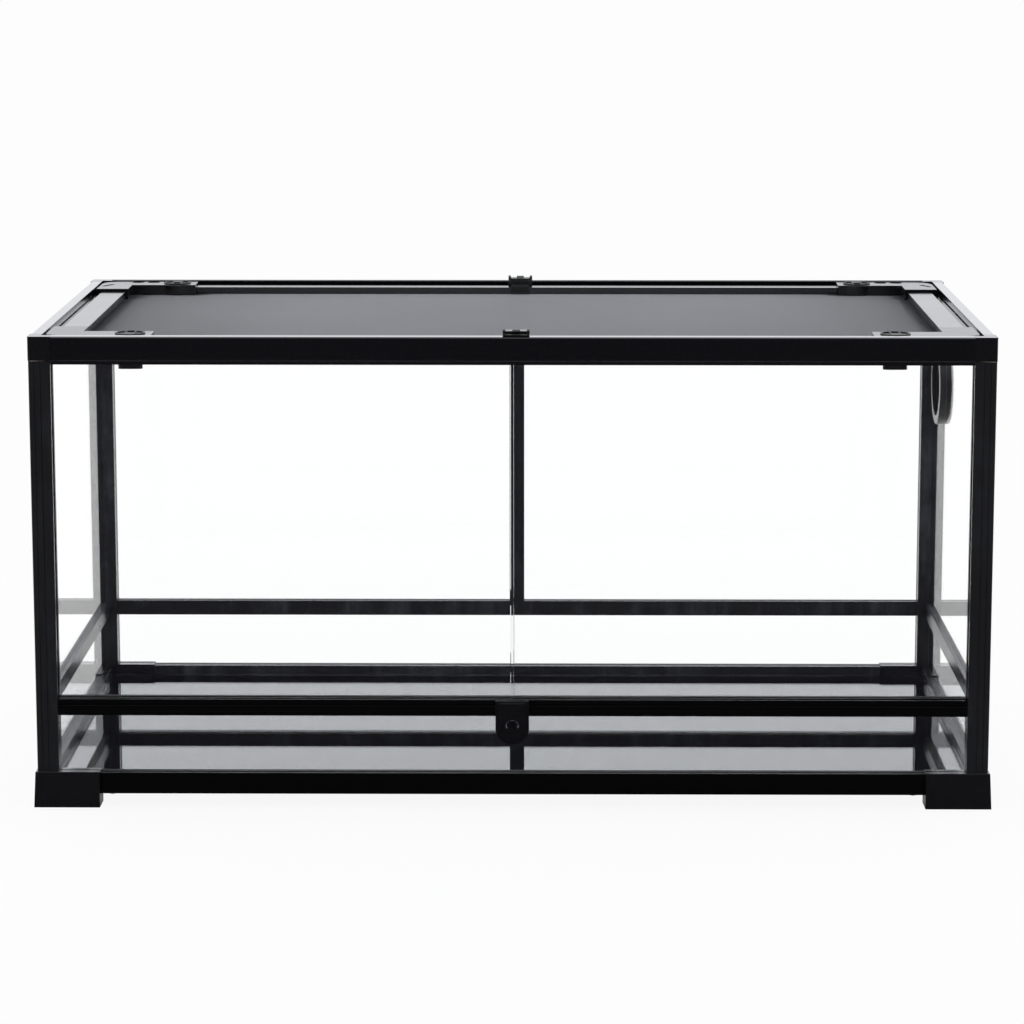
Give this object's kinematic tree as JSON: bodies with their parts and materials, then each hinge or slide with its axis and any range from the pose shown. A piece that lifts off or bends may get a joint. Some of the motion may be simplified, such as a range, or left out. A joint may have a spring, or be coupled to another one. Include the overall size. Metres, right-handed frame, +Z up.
{
  "type": "reptile terrarium",
  "caption": "Knock-down glass terrarium with a black frame on corner feet, sliding front doors with a key lock, a lift-off screen lid with turn locks and a round side port.",
  "frame": {"origin": "under the middle of the four feet, on the surface the terrarium stands on", "axes": "+X to the right seen from the front, +Y from the front doors to the rear, +Z up"},
  "size_m": [1.229, 0.619, 0.6184],
  "materials": {
    "frame_black": "glossy black extrusion",
    "corner_plastic": "glossy moulded black",
    "foot_plastic": "satin moulded black",
    "lid_black": "semi-gloss black",
    "lid_plastic": "satin moulded black",
    "inner_plastic": "plain",
    "floor_black": "smooth black board",
    "pane_glass": "clear float glass",
    "door_glass": "clear float glass, polished edges",
    "screen_wire": "fine black wire screen",
    "lock_black": "semi-gloss black",
    "lock_metal": "dark polished metal",
    "port_plastic": "satin moulded black",
    "plug_rubber": "matt rubber",
    "screw_steel": "plated"
  },
  "bodies": {
    "frame": {"foot_front_left": "foot_plastic", "foot_front_right": "foot_plastic", "foot_rear_left": "foot_plastic", "foot_rear_right": "foot_plastic", "foot_screws": "screw_steel", "bottom_rail_front": "frame_black", "bottom_rail_rear": "frame_black", "bottom_rail_left": "frame_black", "bottom_rail_right": "frame_black", "floor_board": "floor_black", "floor_glass": "pane_glass", "lower_posts": "frame_black", "lower_glass_front": "pane_glass", "lower_glass_rear": "pane_glass", "lower_glass_left": "pane_glass", "lower_glass_right": "pane_glass", "post_connectors": "inner_plastic", "door_sill": "frame_black", "mid_rail_rear": "frame_black", "mid_rail_left": "frame_black", "mid_rail_right": "frame_black", "post_front_left": "frame_black", "post_front_right": "frame_black", "post_rear_left": "frame_black", "post_rear_right": "frame_black", "rear_centre_bar": "frame_black", "side_glass_left": "pane_glass", "side_glass_right": "pane_glass", "rear_glass_left": "pane_glass", "rear_glass_right": "pane_glass", "top_rail_front": "frame_black", "top_rail_rear": "frame_black", "top_rail_left": "frame_black", "top_rail_right": "frame_black", "corner_front_left": "corner_plastic", "corner_front_right": "corner_plastic", "corner_rear_left": "corner_plastic", "corner_rear_right": "corner_plastic", "lock_housing": "lock_black", "port_flange": "port_plastic", "port_nut": "port_plastic"},
    "left_door": {"door_left": "door_glass"},
    "right_door": {"door_right": "door_glass"},
    "key": {"lock_cylinder": "lock_metal"},
    "cap": {"port_cap": "port_plastic"},
    "lid": {"lid_bar_front": "lid_black", "lid_bar_rear": "lid_black", "lid_end_left": "lid_black", "lid_end_right": "lid_black", "lid_brackets": "lid_plastic", "lid_cable_plugs": "plug_rubber", "lid_screen": "screen_wire", "lid_cross_bar": "lid_black", "lid_clip_bases": "lid_plastic"},
    "front_tab": {"lid_tab_front": "lid_plastic"},
    "rear_tab": {"lid_tab_rear": "lid_plastic"},
    "front_left_lock": {"lid_lock_front_left": "lid_plastic"},
    "front_right_lock": {"lid_lock_front_right": "lid_plastic"},
    "rear_left_lock": {"lid_lock_rear_left": "lid_plastic"},
    "rear_right_lock": {"lid_lock_rear_right": "lid_plastic"}
  },
  "joints": [
    {"name": "left_door_slide", "type": "slide", "parent": "frame", "child": "left_door", "axis": [1, 0, 0], "range_m": [0, 0.585]},
    {"name": "right_door_slide", "type": "slide", "parent": "frame", "child": "right_door", "axis": [1, 0, 0], "range_m": [-0.585, 0]},
    {"name": "key_turn", "type": "hinge", "parent": "frame", "child": "key", "pos_m": [0, -0.305, 0.1084], "axis": [0, -1, 0], "range_deg": [0, 90]},
    {"name": "cap_pull", "type": "slide", "parent": "frame", "child": "cap", "axis": [1, 0, 0], "range_m": [0, 0.05]},
    {"name": "lid_lift", "type": "slide", "parent": "frame", "child": "lid", "axis": [0, 0, 1], "range_m": [0, 0.12]},
    {"name": "front_tab_turn", "type": "hinge", "parent": "lid", "child": "front_tab", "pos_m": [0.005, -0.289, 0.6142], "axis": [1, 0, 0], "range_deg": [0, 90]},
    {"name": "rear_tab_turn", "type": "hinge", "parent": "lid", "child": "rear_tab", "pos_m": [0.005, 0.289, 0.6142], "axis": [-1, 0, 0], "range_deg": [0, 90]},
    {"name": "front_left_lock_turn", "type": "hinge", "parent": "lid", "child": "front_left_lock", "pos_m": [-0.485, -0.268, 0.6], "axis": [0, 0, 1], "range_deg": [0, 90]},
    {"name": "front_right_lock_turn", "type": "hinge", "parent": "lid", "child": "front_right_lock", "pos_m": [0.485, -0.268, 0.6], "axis": [0, 0, 1], "range_deg": [0, 90]},
    {"name": "rear_left_lock_turn", "type": "hinge", "parent": "lid", "child": "rear_left_lock", "pos_m": [-0.485, 0.268, 0.6], "axis": [0, 0, 1], "range_deg": [0, 90]},
    {"name": "rear_right_lock_turn", "type": "hinge", "parent": "lid", "child": "rear_right_lock", "pos_m": [0.485, 0.268, 0.6], "axis": [0, 0, 1], "range_deg": [0, 90]}
  ]
}
